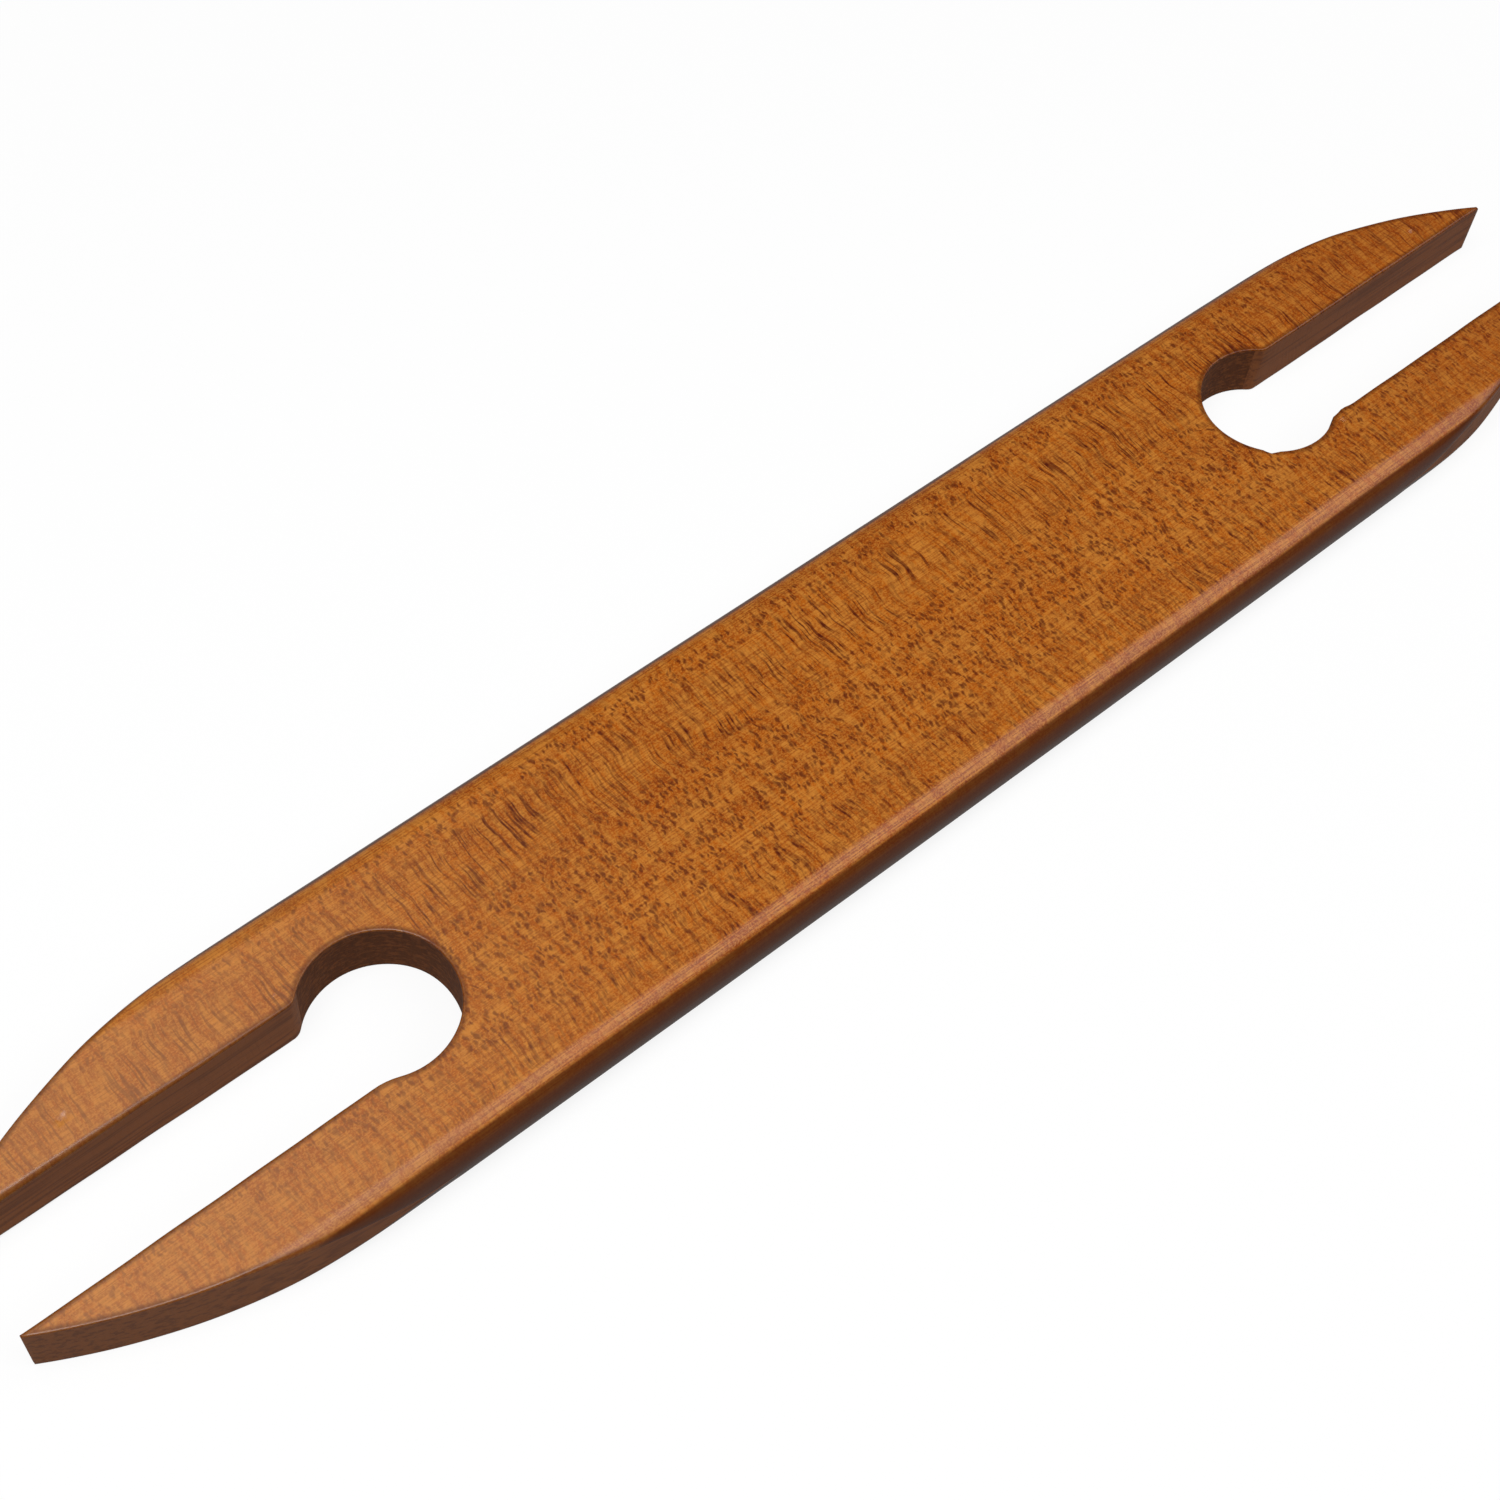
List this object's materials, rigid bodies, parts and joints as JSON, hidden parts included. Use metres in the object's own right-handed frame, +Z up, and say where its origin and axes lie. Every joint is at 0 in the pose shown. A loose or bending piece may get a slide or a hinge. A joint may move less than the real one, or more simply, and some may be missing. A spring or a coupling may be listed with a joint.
{
  "type": "weaving shuttle",
  "caption": "Flat wooden stick shuttle: a long strip with rounded sides and, at each end, an open keyhole between two pointed horns, for winding and passing weft yarn.",
  "frame": {"origin": "middle of the underside, on the surface that the shuttle lies on", "axes": "+X along the strip from the left tips to the right tips, +Y across the strip, +Z up through its thickness"},
  "size_m": [0.305, 0.0484, 0.01],
  "materials": {
    "varnished_wood": "satin varnish over stained hardwood"
  },
  "bodies": {
    "root": {"shuttle_body": "varnished_wood"}
  },
  "joints": []
}
